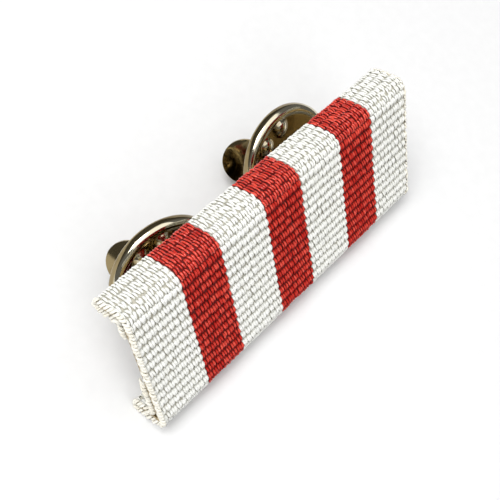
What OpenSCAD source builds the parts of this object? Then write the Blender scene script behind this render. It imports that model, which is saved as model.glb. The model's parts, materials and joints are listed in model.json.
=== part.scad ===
// Medal ribbon bar: a striped ribbon wrapped over a small bent metal bar with two pin posts,
// and a butterfly clutch on each post. It lies as it was put down: leaning back, on the fold
// of the ribbon behind and on the rims of the two clutches. Millimetres, +Z up, X along the
// bar, Y from the ribbon's face to the clutches.

/* [Ribbon] */
// Width of the ribbon, which is the bar's length
ribbon_w = 32; // [28:0.5:38]
// Height of the wrapped face
face_h = 13.1; // [12:0.1:14.2]
// Depth of the wrapped bar, from the face to the folds behind
wrap_d = 3.66; // [3.3:0.02:4.8]
// Thickness of the ribbed cloth
cloth_t = 0.5; // [0.3:0.05:0.6]
// Width of each red stripe
red_w = 4; // [3:0.05:5]
// Width of the two white stripes between the red ones
inner_white_w = 5; // [3:0.05:6]
// Height that the lower tucked end reaches up behind the bar
low_tuck_z = 5.5; // [3:0.1:5.8]
// Height down to which the upper tucked end reaches
high_tuck_z = 10.3; // [9:0.1:10.4]
// Inside radius where a tucked end turns from a flange to the bar's back
tuck_bend = 0.15; // [0.1:0.05:0.3]

/* [Bar] */
// Sheet thickness of the bar
bar_t = 0.3; // [0.2:0.05:0.5]
// How far the bar stops short of each edge of the ribbon, which hides it
bar_inset = 0.1; // [0.1:0.05:0.6]
// Inside radius of the bar's lower bend
low_bend = 0.1; // [0.05:0.05:0.4]
// Inside radius of the bar's upper bend
high_bend = 0.45; // [0.05:0.05:0.8]
// Gap between the cloth and the bar
cloth_gap = 0.03; // [0.02:0.01:0.08]

/* [Pins] */
// Distance between the two pins
pin_spacing = 15.6; // [13:0.1:17]
// Height of the pins above the bar's lower edge
pin_z = 7; // [6.7:0.05:7.5]
// Radius of the thick shank next to the bar
shank_r = 0.6; // [0.55:0.05:0.7]
// Radius of the pin where the clutch grips it
pin_r = 0.44; // [0.36:0.02:0.54]
// Radius of the solder collar on the bar
collar_r = 1.05; // [0.8:0.05:1.2]
// Height of the solder collar
collar_h = 0.35; // [0.2:0.05:0.6]
// Length of the pin's point
point_l = 1; // [0.6:0.1:1.5]
// Radius of the neck that is turned behind the point
neck_r = 0.32; // [0.24:0.02:0.36]
// Length of that neck
neck_l = 0.5; // [0.3:0.1:0.8]
// Length of plain pin between the point and the neck
barb_l = 0.3; // [0.2:0.1:0.5]
// Radius of the blunt end of the point
point_r = 0.1; // [0.05:0.05:0.2]
// Clear length of thin pin between the thick shank and the nearer clutch
shank_clear = 0.6; // [0.4:0.1:1]
// How far the pins reach past the jaws of the further clutch
pin_past = 1.8; // [1.6:0.1:3]

/* [Clutch cup] */
// Outer radius of the cup
cup_r = 5.06; // [4.6:0.02:5.3]
// Depth of the cup, from the face's bead to the rolled rim
cup_d = 1.05; // [1:0.05:1.3]
// Sheet thickness of the cup
cup_t = 0.2; // [0.15:0.05:0.25]
// How far the face lies below its round bead
field_sink = 0.1; // [0.05:0.05:0.15]
// Outer radius of the bead round the face
bead_r = 0.5; // [0.4:0.05:0.5]
// Outer radius of the rolled rim
roll_r = 0.3; // [0.25:0.05:0.35]
// Inner radius of the lip that the roll ends in
lip_r = 4.3; // [4:0.05:4.4]
// Radius of the hole that the pin goes through
hole_r = 1.1; // [1:0.05:1.3]
// Distance of the four bumps from the centre
bump_at = 3.65; // [3:0.05:3.7]
// Height of a bump above the face
bump_h = 0.36; // [0.2:0.02:0.45]
// Radius of a bump at its foot
bump_r = 0.6; // [0.4:0.05:0.7]

/* [Clutch wings] */
// Sheet thickness of the wings
wing_t = 0.25; // [0.2:0.05:0.3]
// Angle of a wing to the cup's face
wing_rise = 50; // [40:1:60]
// Radius of a wing's round end
wing_r = 2.05; // [1.8:0.05:2.3]
// Width of a wing at its root
root_w = 3.2; // [2.4:0.1:3.4]
// Distance of a wing's hinge rod from the pin
rod_at = 1.9; // [1.8:0.05:2.1]
// Radius of the hinge rod
rod_r = 0.22; // [0.15:0.01:0.24]
// Half the length of the hinge rod
rod_half = 4.25; // [4:0.05:4.3]
// Width of the riser and of the jaw plate
plate_w = 3.8; // [3:0.1:4.4]
// How far a jaw plate reaches past the pin's axis
jaw_past = 1; // [0.95:0.05:1.05]
// Far edge of the jaw's eye, from the pin's axis
eye_far = 0.68; // [0.66:0.01:0.72]
// Near edge of the jaw's eye, from the pin's axis
eye_near = 1; // [0.9:0.05:1.1]
// Height of the lower jaw plate behind the rim
low_jaw = 0.05; // [0.02:0.01:0.1]
// Height of the upper jaw plate behind the rim
high_jaw = 0.75; // [0.72:0.01:0.85]
// Distance of the lower wing's round end from the pin
low_end_at = 2.3; // [2.2:0.05:2.6]
// Height of the lower wing's round end behind the rim
low_end_up = 1.35; // [1.3:0.05:1.6]
// Distance of the upper wing's round end from the pin
high_end_at = 2.85; // [2.7:0.05:3]
// Height of the upper wing's round end behind the rim
high_end_up = 1.85; // [1.7:0.05:2]

/* [Resting pose] */
// How far the bar leans back
lean = 32.5; // [29:0.5:36]
// Turn of the left clutch about the upright, on its loose pin hole
left_yaw = -12; // [-13:0.5:0]
// Tip of the left clutch
left_pitch = -1.5; // [-6:0.5:0]
// Turn of the left clutch's wings round the pin
left_spin = -28; // [-45:1:45]
// Turn of the right clutch about the upright
right_yaw = -1.5; // [-13:0.5:0]
// Tip of the right clutch
right_pitch = -8; // [-9:0.5:0]
// Turn of the right clutch's wings round the pin
right_spin = -19; // [-45:1:45]

/* [Hidden] */
$fn = 72;

white = "#f4f1ea";
red = "#c8201a";
brass = "#d9c691";
shade_brass = "#b7a26c";

// Stripes from left to right, white and red in turn
outer_white_w = (ribbon_w - 3 * red_w - 2 * inner_white_w) / 2;
stripes = [outer_white_w, red_w, inner_white_w, red_w, inner_white_w, red_w, outer_white_w];

// The wrap: cloth, gap and bar sheet, and the folds round the flanges
bar_l = ribbon_w - 2 * bar_inset;
bar_y = cloth_t + cloth_gap;
bar_back = bar_y + bar_t;
fold_r = cloth_t + cloth_gap + bar_t / 2;
fold_y = wrap_d - fold_r;
low_r = bar_y + bar_t + low_bend;
high_r = bar_y + bar_t + high_bend;
tuck_y = bar_back + cloth_gap;
tuck_r = tuck_bend + cloth_t;

// The clutch: the middle of the jaws is the point that it tilts about, on the pin's axis
jaw_mid = (low_jaw + high_jaw) / 2;
eye_r = (eye_far + eye_near) / 2;
bump_angles = [35, 68, 215, 248];
cup_field = cup_d - field_sink;
bead_at = cup_r - bead_r;
rod_z = -cup_field / 2;

// Both wings of a clutch, as [jaw height, distance and height of the round end]
LOW = [low_jaw, low_end_at, low_end_up];
HIGH = [high_jaw, high_end_at, high_end_up];

// The two clutches, as [side, yaw, pitch, spin]
LEFT = [-1, left_yaw, left_pitch, left_spin];
RIGHT = [1, right_yaw, right_pitch, right_spin];

// Directions in the bar's own upright frame
floor_up = [0, -sin(lean), cos(lean)];
floor_back = [0, cos(lean), sin(lean)];
function cup_axis(c) = [-sin(c[1]) * cos(c[2]), cos(c[1]) * cos(c[2]), sin(c[2])];
function across(axis, direction) = sqrt(1 - pow(axis * direction, 2));

// The lowest line of the fold behind, and how far back each clutch sits so that its rim
// comes down to the same floor
floor_z = -fold_y * sin(lean) + fold_r * cos(lean) - fold_r;
function jaw_y(c) = (pin_z * cos(lean) - (jaw_mid + roll_r) * (cup_axis(c) * floor_up)
    - (cup_r - roll_r) * across(cup_axis(c), floor_up) - roll_r - floor_z) / sin(lean);
near_jaw_y = min(jaw_y(LEFT), jaw_y(RIGHT));
far_jaw_y = max(jaw_y(LEFT), jaw_y(RIGHT));
pin_tip = far_jaw_y + pin_past;
shank_end = near_jaw_y - jaw_mid - cup_d - shank_clear;

// How far the front bend and the upper wing of the further clutch reach, which centres the
// part on its origin; the wing's tip stands this share of its distance above the pin
tip_rise = 0.4;
front_reach = [0, low_r, low_r] * floor_back - low_r;
tip_up = high_end_up + wing_r * sin(wing_rise) - jaw_mid;
tip_out = high_end_at + wing_r * cos(wing_rise);
back_reach = [0, far_jaw_y + tip_up, pin_z + tip_out * tip_rise] * floor_back;
middle_y = (front_reach + back_reach) / 2;

module in_place() {
    translate([0, -middle_y, -floor_z]) rotate([-lean, 0, 0]) children();
}

module at_clutch(c) {
    in_place()
    translate([c[0] * pin_spacing / 2, jaw_y(c), pin_z])
    rotate([0, 0, c[1]])
    rotate([c[2], 0, 0])
    rotate([-90, 0, 0])
    rotate([0, 0, -c[3]])
    translate([0, 0, -jaw_mid])
    children();
}

// A strip from one corner to the other, in a section
module strip(from, to) {
    translate(from) square(to - from);
}

// A quarter of a bent strip, turned about its centre
module quarter(at, outer, inner, turn) {
    translate(at) rotate(turn)
    intersection() {
        difference() {
            circle(outer);
            circle(inner);
        }
        square(outer + 1);
    }
}

// The section of the wrapped ribbon: Y to the right, Z up
module ribbon_section() {
    tuck_mid = tuck_y + tuck_r;
    low_in = 2 * fold_r - cloth_t;
    strip([0, low_r], [cloth_t, face_h - high_r]);
    quarter([low_r, low_r], low_r, low_r - cloth_t, 180);
    quarter([high_r, face_h - high_r], high_r, high_r - cloth_t, 90);
    strip([low_r, 0], [fold_y, cloth_t]);
    strip([high_r, face_h - cloth_t], [fold_y, face_h]);
    for (z = [fold_r, face_h - fold_r], turn = [0, 270])
        quarter([fold_y, z], fold_r, fold_r - cloth_t, turn);
    strip([tuck_mid, low_in], [fold_y, low_in + cloth_t]);
    strip([tuck_mid, face_h - low_in - cloth_t], [fold_y, face_h - low_in]);
    quarter([tuck_mid, low_in + tuck_r], tuck_r, tuck_bend, 180);
    quarter([tuck_mid, face_h - low_in - tuck_r], tuck_r, tuck_bend, 90);
    strip([tuck_y, low_in + tuck_r], [tuck_y + cloth_t, low_tuck_z]);
    strip([tuck_y, high_tuck_z], [tuck_y + cloth_t, face_h - low_in - tuck_r]);
}

// The section of the bent bar, inside the ribbon
module bar_section() {
    low_out = low_bend + bar_t;
    high_out = high_bend + bar_t;
    strip([bar_y, low_r], [bar_back, face_h - high_r]);
    quarter([low_r, low_r], low_out, low_bend, 180);
    quarter([high_r, face_h - high_r], high_out, high_bend, 90);
    for (side = [[low_r, fold_r], [high_r, face_h - fold_r]]) {
        strip([side[0], side[1] - bar_t / 2], [fold_y, side[1] + bar_t / 2]);
        translate([fold_y, side[1]]) circle(bar_t / 2);
    }
}

// A section drawn out along the bar, from x and over a length
module along(x, length) {
    translate([x, 0, 0]) rotate([90, 0, 90]) linear_extrude(length) children();
}

function before(widths, i) = i == 0 ? 0 : widths[i - 1] + before(widths, i - 1);

module ribbon() {
    for (i = [0:len(stripes) - 1])
        color(i % 2 == 0 ? white : red)
        in_place() along(before(stripes, i) - ribbon_w / 2, stripes[i]) ribbon_section();
}

// One pin, soldered to the bar's back: collar, shank, pin, neck and point, along +Y
module pin() {
    neck_at = pin_tip - point_l - barb_l - neck_l;
    grip_from = bar_back - bar_t / 2;
    rotate([-90, 0, 0]) {
        translate([0, 0, grip_from]) cylinder(r = shank_r, h = shank_end - grip_from);
        translate([0, 0, bar_back]) cylinder(r1 = collar_r, r2 = shank_r, h = collar_h);
        translate([0, 0, shank_end]) cylinder(r = pin_r, h = neck_at - shank_end);
        translate([0, 0, neck_at]) cylinder(r = neck_r, h = neck_l);
        translate([0, 0, neck_at + neck_l]) cylinder(r = pin_r, h = barb_l);
        translate([0, 0, pin_tip - point_l]) cylinder(r1 = pin_r, r2 = point_r, h = point_l);
    }
}

module pin_bar() {
    color(brass)
    in_place() {
        along(-bar_l / 2, bar_l) bar_section();
        for (side = [-1, 1])
            translate([side * pin_spacing / 2, 0, pin_z]) pin();
    }
}

// The wall of the cup: X is the radius, Y the height behind the rim
module cup_section() {
    roll_at = cup_r - roll_r;
    bead_z = -cup_d + bead_r;
    strip([hole_r, -cup_field], [bead_at - bead_r + cup_t, -cup_field + cup_t]);
    quarter([bead_at, bead_z], bead_r, bead_r - cup_t, 270);
    intersection() {
        quarter([bead_at, bead_z], bead_r, bead_r - cup_t, 180);
        strip([0, -cup_d], [bead_at, -cup_field + cup_t]);
    }
    strip([cup_r - cup_t, bead_z], [cup_r, -roll_r]);
    quarter([roll_at, -roll_r], roll_r, roll_r - cup_t, 0);
    strip([lip_r, -cup_t], [roll_at, 0]);
}

// Four balls whose caps stand out of the cup's face; less is what the sheet takes off them
module bumps(less) {
    ball = (bump_r * bump_r + bump_h * bump_h) / (2 * bump_h);
    for (angle = bump_angles)
        rotate(angle) translate([bump_at, 0, ball - cup_field - bump_h]) sphere(ball - less);
}

module cup(c) {
    color(brass)
    at_clutch(c)
    difference() {
        union() {
            rotate_extrude() cup_section();
            intersection() {
                bumps(0);
                translate([0, 0, -cup_field - bump_h])
                    cylinder(r = bead_at, h = bump_h + cup_t);
            }
        }
        bumps(cup_t);
    }
}

// One wing, on the +X side: rod, riser, jaw plate with its eye, and the raised wing
module wing(c, shape, turn) {
    jaw = shape[0];
    tab_back = (shape[2] - jaw) / sin(wing_rise);
    color(shade_brass)
    at_clutch(c)
    rotate(turn) {
        translate([rod_at, 0, rod_z]) rotate([90, 0, 0])
            cylinder(r = rod_r, h = 2 * rod_half, center = true);
        translate([rod_at - wing_t / 2, -plate_w / 2, rod_z])
            cube([wing_t, plate_w, jaw - rod_z]);
        difference() {
            translate([-jaw_past, -plate_w / 2, jaw - wing_t / 2])
                cube([jaw_past + rod_at + wing_t / 2, plate_w, wing_t]);
            translate([(eye_near - eye_far) / 2, 0, jaw - wing_t])
                cylinder(r = eye_r, h = 2 * wing_t);
        }
        translate([shape[1], 0, shape[2]]) rotate([0, -wing_rise, 0])
            linear_extrude(wing_t, center = true) {
                circle(wing_r);
                polygon([[-tab_back, -root_w / 2], [0, -wing_r], [0, wing_r],
                    [-tab_back, root_w / 2]]);
            }
    }
}

module cup_left() { cup(LEFT); }
module cup_right() { cup(RIGHT); }
module wing_left_outer() { wing(LEFT, LOW, 180); }
module wing_left_inner() { wing(LEFT, HIGH, 0); }
module wing_right_inner() { wing(RIGHT, HIGH, 180); }
module wing_right_outer() { wing(RIGHT, LOW, 0); }

ribbon();
pin_bar();
cup_left();
cup_right();
wing_left_outer();
wing_left_inner();
wing_right_inner();
wing_right_outer();
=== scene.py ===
# %% [markdown]
# A medal ribbon bar is a small bent strip of brass with a striped ribbon wrapped over it. Two
# pins are soldered to its back, and a butterfly clutch is pushed on each pin. Here it lies as
# it was put down, on the fold of its ribbon and on the rims of the clutches. The lesson starts
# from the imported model, whose pieces already have their real places, and gives each piece its
# real surface: yarns for the ribbon, and worn pale brass for the metal.

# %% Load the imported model
import json
import math

import bpy
import numpy as np
from mathutils import Matrix, Vector

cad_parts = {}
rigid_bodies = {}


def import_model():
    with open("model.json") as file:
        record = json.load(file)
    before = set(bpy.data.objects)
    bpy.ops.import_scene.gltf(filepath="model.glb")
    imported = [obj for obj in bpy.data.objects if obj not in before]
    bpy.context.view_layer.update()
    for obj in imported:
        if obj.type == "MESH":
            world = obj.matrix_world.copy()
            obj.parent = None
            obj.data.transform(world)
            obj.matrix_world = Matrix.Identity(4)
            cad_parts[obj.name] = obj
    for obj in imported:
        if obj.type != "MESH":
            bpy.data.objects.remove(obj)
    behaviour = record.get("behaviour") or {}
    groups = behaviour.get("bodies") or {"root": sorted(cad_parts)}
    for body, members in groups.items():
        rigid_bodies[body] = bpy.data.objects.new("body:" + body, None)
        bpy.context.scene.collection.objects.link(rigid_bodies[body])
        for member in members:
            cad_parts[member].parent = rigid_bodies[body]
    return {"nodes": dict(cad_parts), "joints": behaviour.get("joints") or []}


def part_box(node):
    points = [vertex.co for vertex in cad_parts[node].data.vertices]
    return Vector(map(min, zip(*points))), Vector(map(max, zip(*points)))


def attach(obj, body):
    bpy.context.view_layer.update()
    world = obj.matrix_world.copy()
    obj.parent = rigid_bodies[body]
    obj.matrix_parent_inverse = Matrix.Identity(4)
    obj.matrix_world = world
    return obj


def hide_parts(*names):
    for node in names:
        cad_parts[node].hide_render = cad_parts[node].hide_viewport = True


bpy.ops.object.select_all(action="SELECT")
bpy.ops.object.delete()
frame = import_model()
mm = 0.001


bpy.context.view_layer.update()

# %% [markdown]
# The bar is easier to think about standing upright: x runs along it from its middle, y goes
# back from the face of the ribbon, and z goes up from the lower edge. In that upright frame
# every size is a plain one. The bar leans back by an angle, so one function turns upright
# millimetres into the metres of the model, and the ribbon's own box gives the shift.

# %% The upright frame of the bar
lean = math.radians(32.5)
face_h = 13.1
wrap_d = 3.66
cloth_t = 0.5
bar_gap = 0.03
bar_t = 0.3
fold_r = cloth_t + bar_gap + bar_t / 2
fold_y = wrap_d - fold_r
low_r = cloth_t + bar_gap + bar_t + 0.1
high_r = low_r + 0.35
tuck_r = 0.15
tuck_face_y = cloth_t + 2 * bar_gap + bar_t + cloth_t
ribbon_low, ribbon_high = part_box("ribbon")
half_w = (ribbon_high.x - ribbon_low.x) / 2 / mm
lift = fold_r + fold_y * math.sin(lean) - fold_r * math.cos(lean)
shift_y = ribbon_low.y / mm + low_r - low_r * (math.cos(lean) + math.sin(lean))


def lean_back(points):
    """Turns directions of the upright frame, given as rows of x, y, z, into the leaning one."""
    x, y, z = np.moveaxis(np.asarray(points, float), -1, 0)
    return np.stack(
        [x, y * math.cos(lean) + z * math.sin(lean), z * math.cos(lean) - y * math.sin(lean)],
        axis=-1,
    )


def on_bar(points):
    """Turns upright millimetres, given as rows of x, y, z, into metres of the model."""
    return (lean_back(points) + [0, shift_y, lift]) * mm


print("ribbon is", round(2 * half_w, 2), "mm wide; shift", round(shift_y, 3), "lift", round(lift, 3))

# %% [markdown]
# The camera stands close, above the left front of the bar, and is turned so that the bar runs
# up to the right. Its place and its three turns are fitted to the edges of the ribbon.

# %% Camera
camera_at = Vector((-34.52, -7.79, 67.50)) * mm
camera_turn = [math.radians(degrees) for degrees in (23.59, -15.95, -46.56)]
bpy.ops.object.select_all(action="DESELECT")
bpy.ops.object.camera_add(location=camera_at, rotation=camera_turn)
camera = bpy.context.object
camera.data.lens = 62.8
camera.data.sensor_width = 36
camera.data.clip_start = 1 * mm
camera.data.clip_end = 10
bpy.context.scene.camera = camera
print("camera", [round(v / mm, 1) for v in camera.location], "mm, lens", camera.data.lens)

# %% [markdown]
# The bar lies on white paper under soft light. The stronger lamp stands behind it and to the
# left, so the top of the ribbon is bright and every rib throws a soft shade forwards. A broad
# light above fills the shade, and a small window low in front adds glints on the bumps of the
# cups, whose tops are also painted pale as a painted highlight. A dim room gives the metal
# something dark to mirror, and the paper throws light back into the hollows.

# %% Paper and light
bpy.ops.object.select_all(action="DESELECT")
bpy.ops.mesh.primitive_plane_add(size=4, location=(0, 0, 0))
paper = bpy.context.object
paper.name = "paper"


def soft_light(name, place, size, watts):
    """A square light of a size in metres at a place, facing the bar."""
    bpy.ops.object.light_add(type="AREA", location=place)
    light = bpy.context.object
    light.name = name
    light.data.shape = "SQUARE"
    light.data.size = size
    light.data.energy = watts
    light.rotation_euler = (-Vector(place)).to_track_quat("-Z", "Y").to_euler()


soft_light("key_light", (-0.14, 0.10, 0.37), 0.24, 1.32)
soft_light("broad_light", (0.0, 0.0, 0.70), 0.90, 3.1)
soft_light("small_window", (-0.11, -0.27, 0.27), 0.15, 0.24)
room = bpy.data.worlds.new("room")
bpy.context.scene.world = room
room.use_nodes = True
room.node_tree.nodes["Background"].inputs["Color"].default_value = (0.99, 0.995, 1, 1)
room.node_tree.nodes["Background"].inputs["Strength"].default_value = 0.14
bpy.context.scene.view_settings.view_transform = "Standard"

# %% [markdown]
# Every finish is made of nodes. Written as a row of calls they are hard to read, so a small
# class wraps a socket and lets it be added and multiplied like a number. A finish is then a
# few lines of sums: a noise times an amount, plus a base. The paper is the first finish: plain,
# matt and nearly white.

# %% Sums of sockets
class Shade:
    """A socket that adds, takes away, multiplies, divides and compares as a number does."""

    def __init__(self, finish, socket):
        self.finish = finish
        self.socket = socket

    def sum(self, operation, first, second):
        return self.finish.add("ShaderNodeMath", {"operation": operation}, {0: first, 1: second})

    def __add__(self, other):
        return self.sum("ADD", self, other)

    def __radd__(self, other):
        return self.sum("ADD", other, self)

    def __sub__(self, other):
        return self.sum("SUBTRACT", self, other)

    def __rsub__(self, other):
        return self.sum("SUBTRACT", other, self)

    def __mul__(self, other):
        return self.sum("MULTIPLY", self, other)

    def __rmul__(self, other):
        return self.sum("MULTIPLY", other, self)

    def __truediv__(self, other):
        return self.sum("DIVIDE", self, other)

    def __gt__(self, other):
        return self.sum("GREATER_THAN", self, other)


class Finish:
    """A material and the nodes that it is made of."""

    def __init__(self, name):
        self.material = bpy.data.materials.new(name)
        self.material.use_nodes = True
        self.nodes = self.material.node_tree.nodes
        self.links = self.material.node_tree.links
        self.surface = self.nodes["Principled BSDF"]

    def add(self, kind, settings=None, values=None, out=0):
        """A new node: its settings are set first, then the values or links of its sockets."""
        node = self.nodes.new(kind)
        for setting, value in (settings or {}).items():
            setattr(node, setting, value)
        self.feed(node, values or {})
        return Shade(self, node.outputs[out])

    def feed(self, node, values):
        for socket, value in values.items():
            if isinstance(value, Shade):
                self.links.new(value.socket, node.inputs[socket])
            else:
                node.inputs[socket].default_value = value

    def paint(self, **values):
        """Sets or links sockets of the surface; an underscore stands for a space."""
        self.feed(self.surface, {name.replace("_", " "): v for name, v in values.items()})

    def place(self):
        """Where a point lies, in metres of the model."""
        return self.add("ShaderNodeTexCoord", out="Object")

    def stretch(self, vector, scale):
        """The vector times a scale along each axis."""
        return self.add("ShaderNodeVectorMath", {"operation": "MULTIPLY"}, {0: vector, 1: scale})

    def noise(self, vector, scale, detail=2.0, roughness=0.5):
        """Soft random patches from 0 to 1."""
        values = {"Vector": vector, "Scale": scale, "Detail": detail, "Roughness": roughness}
        return self.add("ShaderNodeTexNoise", None, values)

    def between(self, value, low, high, to_low=0.0, to_high=1.0):
        """The value taken from one range to another, and held inside it."""
        values = {0: value, 1: low, 2: high, 3: to_low, 4: to_high}
        return self.add("ShaderNodeMapRange", {"clamp": True}, values)

    def blend(self, share, first, second):
        """One colour passing into another."""
        return self.add(
            "ShaderNodeMix", {"data_type": "RGBA"}, {"Factor": share, 6: first, 7: second}, 2
        )

    def relief(self, height, strength, distance):
        """A bump from a height."""
        values = {"Height": height, "Strength": strength, "Distance": distance}
        return self.add("ShaderNodeBump", None, values)


def dress(piece, finish):
    """Gives a piece one finish in place of what it has."""
    piece.data.materials.clear()
    piece.data.materials.append(finish.material)


paper_white = Finish("paper_white")
paper_grain = paper_white.noise(paper_white.place(), 900.0, 3.0)
paper_tone = paper_white.between(paper_grain, 0.3, 0.7, 0.0, 1.0)
paper_white.paint(
    Base_Color=paper_white.blend(paper_tone, (0.78, 0.78, 0.78, 1), (0.80, 0.80, 0.80, 1)),
    Roughness=0.9,
    Specular_IOR_Level=0.1,
)
dress(paper, paper_white)
print("finish", paper_white.material.name, "has", len(paper_white.nodes), "nodes")

# %% [markdown]
# The ribbon is one strip wrapped round the bar. Seen from its end the strip is a line of
# straight runs and bends, from the end that is tucked behind the top, over the top, down the
# face, under the bar, and up behind it. The face of the cloth is always on the right hand of
# that way, so any length along the strip and any height over its face has one place.

# %% The way of the ribbon round the bar
top_tuck_z = 10.3
low_tuck_z = 5.5
flange_z = 2 * fold_r
tuck_up = face_h - flange_z - tuck_r - top_tuck_z
tuck_in = fold_y - tuck_face_y - tuck_r
way = [
    ("run", tuck_up),
    ("right", tuck_r, math.pi / 2),
    ("run", tuck_in),
    ("left", fold_r, math.pi),
    ("run", fold_y - high_r),
    ("left", high_r, math.pi / 2),
    ("run", face_h - high_r - low_r),
    ("left", low_r, math.pi / 2),
    ("run", fold_y - low_r),
    ("left", fold_r, math.pi),
    ("run", tuck_in),
    ("right", tuck_r, math.pi / 2),
    ("run", low_tuck_z - flange_z - tuck_r),
]
lengths = [step[1] if step[0] == "run" else step[1] * step[2] for step in way]
strip_l = sum(lengths)
face_from = sum(lengths[:6])


def along_way(s, h):
    """y and z in mm of the point at length s along the strip and height h over its face."""
    s = np.asarray(s, float)
    h = np.asarray(h, float)
    place = np.zeros(np.broadcast(s, h).shape + (2,))
    at = np.array([tuck_face_y, top_tuck_z])
    heading = math.pi / 2
    start = 0.0
    for step, length in zip(way, lengths):
        first = start == 0.0
        last = start + length > strip_l - 1e-6
        inside = ((s >= start) | first) & ((s < start + length) | last)
        inside = np.broadcast_to(inside, place.shape[:-1])
        t = np.broadcast_to(s - start, inside.shape)[inside]
        up = np.broadcast_to(h, inside.shape)[inside]
        ahead = np.array([math.cos(heading), math.sin(heading)])
        right = np.array([math.sin(heading), -math.cos(heading)])
        if step[0] == "run":
            place[inside] = at + t[:, None] * ahead + up[:, None] * right
            at = at + length * ahead
        else:
            side = 1 if step[0] == "left" else -1
            radius = step[1]
            centre = at - side * radius * right
            turned = heading + side * t / radius
            outward = side * np.stack([np.sin(turned), -np.cos(turned)], axis=-1)
            place[inside] = centre + (radius + side * up)[:, None] * outward
            heading += side * step[2]
            at = centre + side * radius * np.array([math.sin(heading), -math.cos(heading)])
        start += length
    return place


def in_cloth(x, s, h):
    """Metres of the model for a point x along the bar, s along the strip and h over its face."""
    x, s, h = np.broadcast_arrays(x, s, h)
    place = along_way(s, h)
    return on_bar(np.stack([x, place[..., 0], place[..., 1]], axis=-1))


print("strip", round(strip_l, 2), "mm long, face from", round(face_from, 2))

# %% [markdown]
# This ribbon is a rep weave: thick wefts lie side by side across it as ribs, and fine silky
# warp yarns pass over them so close that only they show. Each warp yarn is a short float over
# one rib and dives down before the next. Rib and yarn spacing were counted on the cloth: 0.88 mm
# from rib to rib on the face, and uneven and closer where the strip is drawn over the top. The
# stripes sit a little to the right of the middle, as the loom left them.

# %% Ribs and stripes
rib_pitch = 0.877
bend_ribs = [0.95, 0.70, 0.60, 0.72, 0.80, 0.65]
top_rib_pitch = 0.78
first_face_rib = 2.70
yarn_pitch = 0.25
selvedge_w = 0.11
red_w = 4.12
inner_white_w = 4.88
pattern_shift = 0.16
outer_white_w = half_w - 1.5 * red_w - inner_white_w + pattern_shift
stripe_widths = [outer_white_w, red_w, inner_white_w, red_w, inner_white_w, red_w]
stripe_edges = np.append(np.cumsum([-half_w] + stripe_widths), half_w)
over_bend = face_from - high_r * math.pi / 2
rib_edges = [over_bend + first_face_rib]
while rib_edges[-1] + rib_pitch < strip_l + 0.3 * rib_pitch:
    rib_edges.append(rib_edges[-1] + rib_pitch)
for width in bend_ribs:
    rib_edges.insert(0, rib_edges[0] - width)
while rib_edges[0] - top_rib_pitch > -0.3 * top_rib_pitch:
    rib_edges.insert(0, rib_edges[0] - top_rib_pitch)
rib_edges = np.array(rib_edges)
ribs = list(zip(rib_edges[:-1], rib_edges[1:]))
print(len(ribs), "ribs; stripe edges", [round(float(x), 2) for x in stripe_edges])

# %% [markdown]
# The ground of the cloth is one closed sheet, half a millimetre thick as the real ribbon, with
# low waves where the ribs are. It is made as a grid, because a sheet of cloth has no other
# form, and it keeps a map of its own: across and along the strip, in millimetres.

# %% The ground of the cloth
ground_depth = 0.27
ground_wave = 0.08
back_wave = 0.04
ground_inset = 0.22
columns = 81
rows_per_rib = 6


def new_mesh_piece(name, points, faces, uv, kept=None):
    """A piece from points in metres and faces, with a map and the numbers kept at its points."""
    mesh = bpy.data.meshes.new(name)
    mesh.from_pydata(points.tolist(), [], faces)
    mesh.polygons.foreach_set("use_smooth", np.ones(len(faces), bool))
    corners = np.zeros(len(mesh.loops), np.int32)
    mesh.loops.foreach_get("vertex_index", corners)
    mesh.uv_layers.new(name="cloth")
    mesh.uv_layers["cloth"].data.foreach_set("uv", uv[corners].astype(np.float32).ravel())
    for label, values in (kept or {}).items():
        mesh.attributes.new(label, "FLOAT", "POINT")
        mesh.attributes[label].data.foreach_set("value", values.astype(np.float32))
    mesh.update()
    piece = bpy.data.objects.new(name, mesh)
    bpy.context.scene.collection.objects.link(piece)
    return piece


def wave_over_ribs(s):
    """0 in the valleys and 1 on the ribs at length s along the strip."""
    rib = np.clip(np.searchsorted(rib_edges, s, side="right") - 1, 0, len(ribs) - 1)
    share = (s - rib_edges[rib]) / (rib_edges[rib + 1] - rib_edges[rib])
    return np.abs(np.sin(math.pi * np.clip(share, 0, 1)))


def make_ground():
    """The closed sheet that the yarns lie on."""
    s = np.linspace(0, strip_l, len(ribs) * rows_per_rib + 1)
    x = np.linspace(-half_w + ground_inset, half_w - ground_inset, columns)
    grid_s, grid_x = np.meshgrid(s, x, indexing="ij")
    wave = wave_over_ribs(grid_s)
    face = in_cloth(grid_x, grid_s, -ground_depth + ground_wave * wave)
    back = in_cloth(grid_x, grid_s, -cloth_t + back_wave * (1 - wave))
    rows, cols = grid_s.shape
    points = np.concatenate([face.reshape(-1, 3), back.reshape(-1, 3)])
    index = np.arange(rows * cols).reshape(rows, cols)
    a, b = index[:-1, :-1].ravel(), index[:-1, 1:].ravel()
    c, d = index[1:, 1:].ravel(), index[1:, :-1].ravel()
    below = rows * cols
    faces = [np.stack([a, d, c, b], 1), np.stack([a, b, c, d], 1) + below]
    for line, other in ((index[0], False), (index[-1], True), (index[:, 0], True), (index[:, -1], False)):
        p, q = line[:-1], line[1:]
        wall = np.stack([p, q, q + below, p + below], 1)
        faces.append(wall[:, ::-1] if other else wall)
    uv = np.tile(np.stack([grid_x.ravel(), grid_s.ravel()], 1), (2, 1))
    return new_mesh_piece("ribbon_ground", points, np.concatenate(faces).tolist(), uv)


ground = make_ground()
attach(ground, "bar")
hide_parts("ribbon")
print("ground has", len(ground.data.polygons), "faces")
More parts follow.
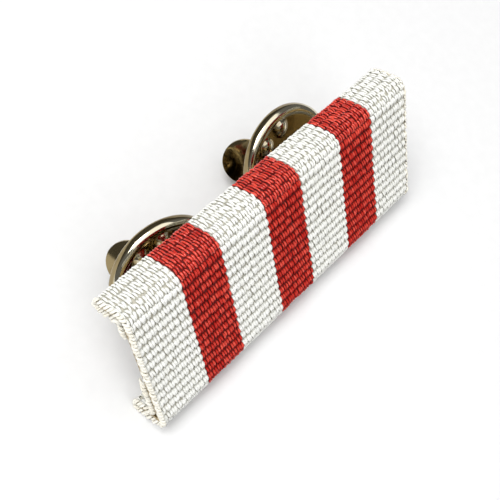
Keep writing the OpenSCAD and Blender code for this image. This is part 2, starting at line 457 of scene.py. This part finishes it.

# %% [markdown]
# One float is modelled and then laid thousands of times. It starts as a ring of six
# points, which is spun through half a turn into an arch with closed ends. Three numbers are
# kept for each of its points: how far along the float it lies, how far out on the round of the
# yarn, and how far to the side. From these it can be laid on a rib of any width and height.

# %% One yarn float
arch_sides = 6
arch_steps = 8
float_thick = 0.3


def select_all_for_edit(piece):
    """Makes a piece the only selected one and opens it in edit mode."""
    bpy.ops.object.select_all(action="DESELECT")
    piece.select_set(True)
    bpy.context.view_layer.objects.active = piece
    bpy.ops.object.mode_set(mode="EDIT")
    bpy.ops.mesh.select_all(action="SELECT")


def finish_edit():
    """Merges doubles, turns the faces outwards and leaves edit mode."""
    bpy.ops.mesh.select_all(action="SELECT")
    bpy.ops.mesh.remove_doubles(threshold=1e-7)
    bpy.ops.mesh.normals_make_consistent(inside=False)
    bpy.ops.object.mode_set(mode="OBJECT")


def model_arch(name, thick):
    """An arch of a round yarn: half a turn about X, from y = -1 over the top to y = 1."""
    bpy.ops.object.select_all(action="DESELECT")
    bpy.ops.mesh.primitive_circle_add(
        vertices=arch_sides, radius=thick, fill_type="NGON", location=(0, -1, 0)
    )
    piece = bpy.context.object
    piece.name = name
    bpy.ops.object.transform_apply(location=True, rotation=True, scale=True)
    select_all_for_edit(piece)
    bpy.ops.mesh.spin(steps=arch_steps, angle=math.pi, center=(0, 0, 0), axis=(1, 0, 0))
    bpy.ops.mesh.select_all(action="SELECT")
    finish_edit()
    return piece


def take_shape(piece):
    """The points, in their own units, and the faces of a model, which is then removed."""
    points = np.array([v.co for v in piece.data.vertices])
    faces = [list(p.vertices) for p in piece.data.polygons]
    bpy.data.objects.remove(piece)
    return points, faces


float_points, float_faces = take_shape(model_arch("float", float_thick))
float_share = np.arctan2(float_points[:, 2], -float_points[:, 1]) / math.pi
float_share = np.where(float_share < -0.5, 1, np.clip(float_share, 0, 1))
float_out = (np.hypot(float_points[:, 1], float_points[:, 2]) - 1) / float_thick
float_side = float_points[:, 0] / abs(float_points[:, 0]).max()
print("a float has", len(float_points), "points and", len(float_faces), "faces")

# %% [markdown]
# The yarns of one stripe are one piece: the float is copied over every rib and every yarn, then
# bent round the bar by the same way as the ground. A float rises from one valley, rolls over the
# rib and sinks into the next; over the top of the bar the ribs are pressed flatter. No two real
# yarns are alike, so each copy is a little wider or narrower, higher or lower, and askew. In the
# white stripes the yarns run in pairs: towards the lower side of a rib the two draw together
# and leave a hollow beside them, and on the face they are pressed flatter, so that a rib reads
# as one ridge. Each point keeps a level of painted light: painted shade on the underside and tips
# of a float, down in the valleys and on the lower side of a rib on the face, and over the top of
# the bar the white painted darker and the red lighter. It also keeps a painted sheen, weaker on
# the face and held off the rib's shaded lower side; the finish uses both. Lengths are in
# millimetres, and widths and levels of painted light are shares of the float's own.

# %% Laying the floats
chance = np.random.default_rng(7)
rib_rise = 0.25
top_rib_rise = 0.10
yarn_r = 0.085
float_half_w = 0.118
float_overlap = 1.10
thinner_on_top = 0.22
face_begins = (face_from - 0.9, face_from + 0.3)
draw_along = (0.25, 0.75)
draw_on_top = 0.3
tip_narrower = 0.45
tip_flatter = 0.4
loose_x = 0.014
loose_s = 0.03
loose_turn = 0.022
highest_over = 0.03
# painted shade on the lower side of each rib on the face, and the painted sheen fading there
shaded_along = (0.42, 0.85)
shaded_by = 0.6
gloss_fades_along = (0.40, 0.62)
# over the top of the bar the white yarns are painted darker and the red ones lighter: painted light and
# shade
yarn_kinds = {
    "white": {
        "in_bundle": 2, "wide": 1.10, "slimmer": 0.506, "drawn": 0.066, "sunk": 0.04,
        "flatter": 0.40, "painted_light_on_top": 0.72, "uneven_w": 0.06, "uneven_h": 0.016,
    },
    "red": {
        "in_bundle": 1, "wide": 0.90, "slimmer": 0.12, "drawn": 0.018, "sunk": 0.02,
        "flatter": 0.0, "painted_light_on_top": 1.25, "uneven_w": 0.10, "uneven_h": 0.026,
    },
}


def ease(value, low, high):
    """0 below low, 1 above high, and a soft step between them."""
    share = np.clip((value - low) / (high - low), 0, 1)
    return share * share * (3 - 2 * share)


def join_faces(faces, copies, points_each, flip=False):
    """The faces of one model repeated for each copy, those with fewest corners first."""
    sizes = sorted({len(face) for face in faces})
    rows = []
    for size in sizes:
        block = np.array([face for face in faces if len(face) == size])
        if flip:
            block = block[:, ::-1]
        offsets = (np.arange(copies) * points_each)[:, None, None]
        rows += (block[None] + offsets).reshape(-1, size).tolist()
    return rows


def lay_floats(name, x_from, x_to, kind):
    """All floats of a stripe from x_from to x_to, of one kind of yarn."""
    width = x_to - x_from
    count = kind["in_bundle"] * round(width / yarn_pitch / kind["in_bundle"])
    yarn = np.arange(count)
    side = np.where(yarn % 2 == 0, 1, -1)[:, None]
    x_middle = (x_from + (yarn + 0.5) * width / count)[:, None]
    share = float_share
    over = np.sin(math.pi * share)
    tip = np.abs(2 * share - 1) ** 5
    points, uvs, tones, painted_light_levels, painted_sheens = [], [], [], [], []

    def vary(amount):
        return chance.normal(0, amount, (count, 1))

    for start, stop in ribs:
        middle, rib_w = (start + stop) / 2, stop - start
        on_face = ease(middle, *face_begins)
        on_top = 1 - on_face
        rise = top_rib_rise + (rib_rise - top_rib_rise) * on_face
        draw = ease(share, *draw_along) * (draw_on_top + (1 - draw_on_top) * on_face)
        half = float_half_w * (1 - thinner_on_top * on_top) * (kind["wide"] - kind["slimmer"] * draw)
        half = half * (1 + vary(kind["uneven_w"])) * (1 - tip_narrower * tip)
        askew = vary(loose_turn + 0.02 * on_top)
        centre = x_middle + side * kind["drawn"] * draw + vary(loose_x)
        x = centre + askew * (2 * share - 1) + half * float_side
        s = middle + (share - 0.5) * rib_w * float_overlap + vary(loose_s * (1 + on_top))
        round_h = yarn_r * (1 - kind["flatter"] * on_face)
        h = -rise * (1 - over) - kind["sunk"] * draw
        h = h - round_h * (1 - float_out * (1 - tip_flatter * tip))
        h = h + np.minimum(vary(kind["uneven_h"]), highest_over)
        points.append(in_cloth(x, s, h).reshape(-1, 3))
        uvs.append(np.stack([x.ravel(), s.ravel()], 1))
        tones.append(np.repeat(chance.uniform(0, 1, count), len(share)))
        # painted shade: darker on the underside and the tips of a float and down in the valleys
        painted_light_level = (0.5 + 0.5 * float_out) * (1 - 0.5 * tip) * (0.55 + 0.45 * over)
        # painted light and shade over the top of the bar, set for each kind of yarn
        painted_light_level = painted_light_level * (kind["painted_light_on_top"] * on_top + on_face)
        # painted shade on the lower side of each rib on the face
        painted_light_level = painted_light_level * (1 - shaded_by * on_face * ease(share, *shaded_along))
        # painted sheen: weaker on the face and fading on the lower side of each rib
        fade = on_face * (0.3 + 0.7 * ease(share, *gloss_fades_along))
        painted_light_levels.append(np.tile(painted_light_level, count))
        painted_sheens.append(np.tile(painted_light_level * (1 - fade), count))
    faces = join_faces(float_faces, count * len(ribs), len(float_points))
    kept = {
        "tone": np.concatenate(tones),
        "painted_light_level": np.concatenate(painted_light_levels),
        "painted_sheen": np.concatenate(painted_sheens),
    }
    return new_mesh_piece(name, np.concatenate(points), faces, np.concatenate(uvs), kept)


stripes = []
for number, (left, right) in enumerate(zip(stripe_edges[:-1], stripe_edges[1:])):
    left = left + selvedge_w if number == 0 else left
    right = right - selvedge_w if number == 6 else right
    colour = "red" if number % 2 else "white"
    stripe = lay_floats(f"{colour}_yarns_{number + 1}", left, right, yarn_kinds[colour])
    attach(stripe, "bar")
    stripes.append(stripe)
print("stripes:", {o.name: len(o.data.polygons) for o in stripes})

# %% [markdown]
# At both edges the wefts turn back, and the turns stand close together as a row of small cords
# that wrap round the edge from the face to the back. One turn is modelled as an arch and copied
# down each edge, each lying a little slantwise over the next and bulging most beside a rib. On
# the right edge three slant one way and three the other, as on the cloth.

# %% The turns of the selvedges
turn_thick = 0.40
turn_points, turn_faces = take_shape(model_arch("turn", turn_thick))
turn_ring = np.hypot(turn_points[:, 1], turn_points[:, 2])
turn_away = turn_points[:, 2] / turn_ring
turn_up = turn_points[:, 1] / turn_ring
turn_out = (turn_ring - 1) / turn_thick
turn_along = turn_points[:, 0] / turn_thick
turn_pitch = 0.36
turn_inset = 0.20
turn_depth = 0.20
turn_bulge = 0.22
turn_reach = 0.17
turn_slant = 0.22
turn_half_w = 0.165
turn_r = 0.11
turn_r_up = 0.088
turn_top = 0.06


def lay_turns(name, side, slants):
    """The turns along one edge: side is -1 for the left and 1 for the right."""
    count = round(strip_l / turn_pitch)
    places = (np.arange(count) + 0.5) * strip_l / count
    points, uvs = [], []
    for number, place in enumerate(places):
        slant = turn_slant * slants[number % len(slants)]
        bulge = turn_bulge * (0.75 + 0.5 * wave_over_ribs(place) + chance.normal(0, 0.10))
        x = half_w - turn_inset + turn_away * (bulge + turn_out * turn_r)
        h = -turn_depth + turn_up * (turn_reach + turn_out * turn_r_up)
        s = place + slant * turn_up + turn_along * turn_half_w + chance.normal(0, 0.03)
        s = np.clip(s, 0, strip_l)
        points.append(in_cloth(side * x, s, np.minimum(h, turn_top)))
        uvs.append(np.stack([x, s], 1))
    faces = join_faces(turn_faces, count, len(turn_points), side < 0)
    # painted shade on the inner side of each turn; the same values are its painted sheen
    painted_light_level = np.tile(0.5 + 0.5 * turn_out, count)
    tone = np.repeat(chance.uniform(0, 1, count), len(turn_points))
    kept = {"tone": tone, "painted_light_level": painted_light_level, "painted_sheen": painted_light_level}
    return new_mesh_piece(name, np.concatenate(points), faces, np.concatenate(uvs), kept)


selvedges = [
    lay_turns("selvedge_left", -1, [1]),
    lay_turns("selvedge_right", 1, [1, 1, 1, -1, -1, -1]),
]
for edge in selvedges:
    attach(edge, "bar")
print("turns:", {o.name: len(o.data.polygons) for o in selvedges})

# %% [markdown]
# The yarns are fine silky threads. Their crowns are painted lighter, a painted highlight where
# the gloss also lies, and their sides are painted darker as painted shade. Each yarn has its own
# tone, kept at its points, and the filaments are a noise stretched along the strip on the cloth's
# own map. The ground below is duller, and painted darker as painted shade, as cloth is where no
# light comes.

# %% The finishes of the ribbon
def yarn_finish(name, colours, gloss, gloss_blur, mixed, crown_from):
    """Silky yarn: painted shade at its sides, and on its crown from plain to a painted highlight, the
    more mixed the more.
    """
    painted_shade_colour, dark, light = colours
    finish = Finish(name)
    tone = finish.add("ShaderNodeAttribute", {"attribute_name": "tone"}, out="Fac")
    painted_light_level = finish.add("ShaderNodeAttribute", {"attribute_name": "painted_light_level"}, out="Fac")
    lit = finish.add("ShaderNodeAttribute", {"attribute_name": "painted_sheen"}, out="Fac")
    strip = finish.add("ShaderNodeUVMap", {"uv_map": "cloth"})
    threads = finish.noise(finish.stretch(strip, (22.0, 2.2, 1.0)), 1.0, 2.0, 0.6)
    worn = finish.noise(finish.place(), 260.0, 3.0)
    loose = tone * 0.6 + threads * 0.75 + worn * 0.4
    # painted highlight: the light colour and the coat only where the painted sheen is
    in_painted_sheen = finish.between(lit, 0.10, 0.60)
    share = finish.between(loose, 0.85 - mixed, 0.85 + mixed) * in_painted_sheen
    # painted shade where the level of painted light is low
    crown = finish.between(painted_light_level, crown_from, crown_from + 0.5)
    finish.paint(
        Base_Color=finish.blend(crown, painted_shade_colour, finish.blend(share, dark, light)),
        Roughness=0.75,
        Coat_Weight=finish.between(lit + tone * 0.3, 0.50, 0.95) * gloss,
        Coat_Roughness=gloss_blur,
        Normal=finish.relief(threads, 0.7, 0.03 * mm),
        Specular_IOR_Level=0.15,
    )
    return finish


# each kind: a painted shade colour for sides and valleys, its plain colour, and a painted highlight
# colour
white_colours = ((0.53, 0.53, 0.46, 1), (0.88, 0.88, 0.83, 1), (0.96, 0.96, 0.93, 1))
red_colours = ((0.13, 0.002, 0.001, 1), (0.42, 0.004, 0.003, 1), (0.88, 0.085, 0.050, 1))
edge_colours = ((0.66, 0.59, 0.46, 1), (0.88, 0.84, 0.72, 1), (0.96, 0.94, 0.86, 1))
white_yarn = yarn_finish("white_yarn", white_colours, 1.0, 0.32, 0.4, 0.08)
red_yarn = yarn_finish("red_yarn", red_colours, 1.0, 0.22, 0.45, 0.25)
edge_yarn = yarn_finish("selvedge_yarn", edge_colours, 0.8, 0.32, 0.4, 0.0)
ground_finish = Finish("ribbon_ground")
across = ground_finish.add("ShaderNodeSeparateXYZ", None, {0: ground_finish.place()}, "X")
red_share = 0.0
for number in (1, 3, 5):
    past_left = across > float(stripe_edges[number]) * mm
    past_right = across > float(stripe_edges[number + 1]) * mm
    red_share = red_share + (past_left - past_right)
strip_map = ground_finish.add("ShaderNodeUVMap", {"uv_map": "cloth"})
dusk = ground_finish.noise(ground_finish.stretch(strip_map, (4.0, 4.0, 1.0)), 1.0, 3.0)
# the ground is painted darker than its yarns: painted shade in the hollows between them
white_ground_painted_shade = ground_finish.blend(dusk, (0.44, 0.42, 0.34, 1), (0.58, 0.55, 0.47, 1))
red_ground_painted_shade = ground_finish.blend(dusk, (0.09, 0.002, 0.001, 1), (0.17, 0.003, 0.002, 1))
ground_finish.paint(
    Base_Color=ground_finish.blend(red_share, white_ground_painted_shade, red_ground_painted_shade),
    Roughness=0.85,
    Normal=ground_finish.relief(dusk, 0.4, 0.03 * mm),
)
dress(ground, ground_finish)
for number, stripe in enumerate(stripes):
    dress(stripe, red_yarn if number % 2 else white_yarn)
for edge in selvedges:
    dress(edge, edge_yarn)
finishes = (white_yarn, red_yarn, edge_yarn, ground_finish)
print("ribbon finishes:", [finish.material.name for finish in finishes])

# %% [markdown]
# Bar, pins and clutches are thin pressed brass with a pale bright plating that has worn and
# browned. The plating mirrors like metal, so most of its look comes from what stands round it.
# The shoulder, the rim and the tops of the bumps of a cup are painted pale, a painted highlight
# where their glints fall, and the flat parts stay brown; how pale a point is painted is kept at
# the points of a cup. A fine haze of scratches and a few darker patches keep the metal from
# looking new.

# %% The finish of the metal
painted_highlight_colour = (0.72, 0.66, 0.50, 1)


def metal_finish(name, plain, brown, polish):
    """Plated brass: plain to brown in patches, and pale where a painted highlight is kept."""
    finish = Finish(name)
    place = finish.place()
    painted_highlight = finish.add("ShaderNodeAttribute", {"attribute_name": "painted_highlight"}, out="Fac")
    patches = finish.noise(place, 420.0, 4.0, 0.6)
    scratches = finish.noise(finish.stretch(place, (900.0, 2600.0, 4200.0)), 1.0, 2.0, 0.7)
    browned = finish.between(patches, 0.46, 0.70)
    # painted highlight: pale where the cup keeps it
    tone = finish.blend(painted_highlight, finish.blend(browned, plain, brown), painted_highlight_colour)
    finish.paint(
        Base_Color=tone,
        Metallic=1.0,
        Roughness=polish + 0.08 * browned + 0.05 * scratches,
        Normal=finish.relief(scratches, 0.12, 0.004 * mm),
    )
    return finish


plated = metal_finish("plated_brass", (0.32, 0.25, 0.13, 1), (0.17, 0.12, 0.05, 1), 0.06)
bar_metal = metal_finish("rolled_brass", (0.40, 0.30, 0.15, 1), (0.24, 0.17, 0.07, 1), 0.22)
dress(frame["nodes"]["pin_bar"], bar_metal)
print("metal finishes:", plated.material.name, bar_metal.material.name)

# %% [markdown]
# Each clutch has a frame of its own: its axis through the middle of the cup, and the two hinge
# rods of its wings on either side. The model states both hinges, so the frame of the clutch is
# worked out from them: halfway between the rods, with X across them and Y along them.

# %% The frames of the clutches
cup_r = 5.06
cup_d = 1.05
field_sink = 0.1
cup_t = 0.2
bead_r = 0.5
roll_r = 0.3
lip_r = 4.3
hole_r = 1.1
rod_z = -(cup_d - field_sink) / 2
hinges = {joint["child"]: joint for joint in frame["joints"] if joint["type"] == "hinge"}


def clutch_frame(minus_wing, plus_wing):
    """The matrix of a clutch, in metres, from the hinges of its wings on -X and +X."""
    minus = Vector(hinges[minus_wing]["pos_m"])
    plus = Vector(hinges[plus_wing]["pos_m"])
    x = (plus - minus).normalized()
    y = -Vector(hinges[plus_wing]["axis"]).normalized()
    z = x.cross(y).normalized()
    matrix = Matrix((x, y, z)).transposed().to_4x4()
    matrix.translation = (plus + minus) / 2 - z * rod_z * mm
    return matrix


clutches = {
    "left": clutch_frame("wing_left_outer", "wing_left_inner"),
    "right": clutch_frame("wing_right_inner", "wing_right_outer"),
}
print("clutch axes:", {k: [round(v, 3) for v in m.col[2][:3]] for k, m in clutches.items()})

# %% [markdown]
# A cup is one disc of sheet metal, pressed into a face with a round bead, a short wall and a
# rolled rim. By hand it would be turned: a ring of edges is extruded and widened step by step
# along the section of the wall. Then the four bumps are pushed up, and the sheet is given its
# thickness on the inner side, so that the outside keeps its size.

# %% One cup
def arc(centre, radius, from_deg, to_deg, steps):
    """Points along an arc in the section of the cup: radius from the axis, and height."""
    return [
        (
            centre[0] + radius * math.cos(math.radians(a)),
            centre[1] + radius * math.sin(math.radians(a)),
        )
        for a in np.linspace(from_deg, to_deg, steps)
    ]


cup_field = cup_d - field_sink
bead_at = (cup_r - bead_r, -cup_d + bead_r)
bead_from = 180 + math.degrees(math.asin((cup_field + bead_at[1]) / bead_r))
cup_section = [(hole_r, -cup_field + 0.07), (hole_r + 0.06, -cup_field + 0.015)]
cup_section += [(r, -cup_field) for r in np.arange(hole_r + 0.2, bead_at[0] - 0.42, 0.2)]
cup_section += arc(bead_at, bead_r, bead_from, 360, 12)
cup_section += arc((cup_r - roll_r, -roll_r), roll_r, 0, 90, 6)
cup_section += [(4.55, 0.0), (lip_r + 0.06, -0.01), (lip_r, -0.05)]
bump_at = 3.65
bump_h = 0.42
bump_r = 0.66
bump_angles = (35, 68, 215, 248)
# where a cup is painted pale as a painted highlight
shoulder_highlight = (4.05, 4.45)
shoulder_highlight_ends = (4.97, 5.05)
rim_highlight = (-0.22, -0.05)
rim_highlight_share = 0.8
bump_highlight = (cup_field + 0.12, cup_field + 0.30)
bump_ring = (3.0, 4.3)


def turn_sheet(name, section, segments):
    """A sheet of revolution about Z, extruded ring by ring along a section in mm."""
    bpy.ops.object.select_all(action="DESELECT")
    bpy.ops.mesh.primitive_circle_add(
        vertices=segments, radius=section[0][0] * mm, location=(0, 0, section[0][1] * mm)
    )
    piece = bpy.context.object
    piece.name = name
    bpy.ops.object.transform_apply(location=True, rotation=True, scale=True)
    select_all_for_edit(piece)
    for (r0, z0), (r1, z1) in zip(section, section[1:]):
        bpy.ops.mesh.extrude_edges_move(TRANSFORM_OT_translate={"value": (0, 0, (z1 - z0) * mm)})
        bpy.ops.transform.resize(value=(r1 / r0, r1 / r0, 1))
    bpy.ops.object.mode_set(mode="OBJECT")
    return piece


def push_bump(piece, x, y, height, radius):
    """Pushes the sheet up round a point of its face, by a soft grab in edit mode."""
    mesh = piece.data
    points = np.array([v.co for v in mesh.vertices]) / mm
    in_rim = points[:, 2] > -cup_d / 2
    nearest = np.argmin(np.hypot(points[:, 0] - x, points[:, 1] - y) + in_rim * 2 * cup_r)
    select_all_for_edit(piece)
    bpy.ops.mesh.select_all(action="DESELECT")
    bpy.ops.object.mode_set(mode="OBJECT")
    mesh.vertices[int(nearest)].select = True
    bpy.ops.object.mode_set(mode="EDIT")
    bpy.ops.transform.translate(
        value=(0, 0, -height * mm),
        use_proportional_edit=True,
        proportional_edit_falloff="SPHERE",
        proportional_size=radius * mm,
    )
    bpy.ops.object.mode_set(mode="OBJECT")


def put_on(piece, kind, **settings):
    """Adds a modifier with its settings and applies it."""
    modifier = piece.modifiers.new(kind.lower(), kind)
    for setting, value in settings.items():
        setattr(modifier, setting, value)
    bpy.ops.object.select_all(action="DESELECT")
    piece.select_set(True)
    bpy.context.view_layer.objects.active = piece
    bpy.ops.object.modifier_apply(modifier=modifier.name)


def model_cup(name):
    """A cup in its own frame, rim at 0 and face towards -Z."""
    cup = turn_sheet(name, cup_section, 96)
    for angle in bump_angles:
        x = bump_at * math.cos(math.radians(angle))
        y = bump_at * math.sin(math.radians(angle))
        push_bump(cup, x, y, bump_h, bump_r)
    select_all_for_edit(cup)
    bpy.ops.mesh.normals_make_consistent(inside=False)
    bpy.ops.object.mode_set(mode="OBJECT")
    put_on(cup, "SOLIDIFY", thickness=cup_t * mm, offset=-1, use_even_offset=True)
    put_on(cup, "SUBSURF", levels=1, render_levels=1)
    bpy.ops.object.shade_smooth()
    points = np.array([v.co for v in cup.data.vertices]) / mm
    radius = np.hypot(points[:, 0], points[:, 1])
    # painted highlight on the shoulder, the rim and the tops of the bumps
    shoulder = ease(radius, *shoulder_highlight) * (1 - ease(radius, *shoulder_highlight_ends))
    rim = rim_highlight_share * ease(points[:, 2], *rim_highlight)
    bumps = ease(-points[:, 2], *bump_highlight) * (radius > bump_ring[0]) * (radius < bump_ring[1])
    painted_highlight = np.maximum(np.maximum(shoulder, rim), bumps)
    cup.data.attributes.new("painted_highlight", "FLOAT", "POINT")
    cup.data.attributes["painted_highlight"].data.foreach_set("value", painted_highlight.astype(np.float32))
    return cup


def seat(piece, matrix, body, node):
    """Puts a finished piece in its place, in its mesh and on its body, and hides the node that it stands
    in for.
    """
    piece.data.transform(matrix)
    piece.data.update()
    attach(piece, body)
    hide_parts(node)


for side, matrix in clutches.items():
    cup = model_cup(f"pressed_cup_{side}")
    seat(cup, matrix, f"clutch_{side}", f"cup_{side}")
    dress(cup, plated)
    made_low = np.array([v.co for v in cup.data.vertices]).min(0)
    off = (made_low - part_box(f"cup_{side}")[0]) / mm
    print(cup.name, len(cup.data.polygons), "faces; low corner off by mm", off.round(2))

# %% [markdown]
# The wings are flat pressed ears with true sizes already, but their edges are knife sharp, and
# real pressed edges are soft and catch a line of light. Each wing is copied from its node, its
# loose triangles are merged, and its edges are bevelled a little.

# %% Wings with soft edges
edge_soft = 0.05
sharp_from = math.radians(40)
smooth_up_to = math.radians(35)


def soften(node_name):
    """A copy of a node with merged faces and softened edges."""
    bpy.ops.object.select_all(action="DESELECT")
    piece = frame["nodes"][node_name].copy()
    piece.data = piece.data.copy()
    for key in list(piece.keys()):
        del piece[key]
    piece.parent = None
    piece.name = f"soft_{node_name}"
    bpy.context.scene.collection.objects.link(piece)
    select_all_for_edit(piece)
    bpy.ops.mesh.remove_doubles(threshold=1e-6)
    bpy.ops.mesh.customdata_custom_splitnormals_clear()
    bpy.ops.mesh.dissolve_limited(angle_limit=math.radians(0.5))
    bpy.ops.object.mode_set(mode="OBJECT")
    put_on(
        piece, "BEVEL", width=edge_soft * mm, segments=3, limit_method="ANGLE",
        angle_limit=sharp_from, use_clamp_overlap=True,
    )
    bpy.ops.object.shade_smooth_by_angle(angle=smooth_up_to)
    return piece


for wing_body in sorted(hinges):
    wing = soften(wing_body)
    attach(wing, wing_body)
    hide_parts(wing_body)
    dress(wing, plated)
    print(wing.name, len(wing.data.polygons), "faces")

# %% [markdown]
# The ribbon is one strip, stretched over the bar. Its cut size is worked out here: as wide as
# the bar, and as long as its way round the bar at the middle of its thickness.

middle_line = in_cloth(0.0, np.linspace(0, strip_l, 2000), -cloth_t / 2)
cut_length = float(np.linalg.norm(np.diff(middle_line, axis=0), axis=1).sum())
stripes + selvedges
print("cut size in mm:", round(2 * half_w, 1), "x", round(cut_length / mm, 2))
bpy.context.view_layer.update()
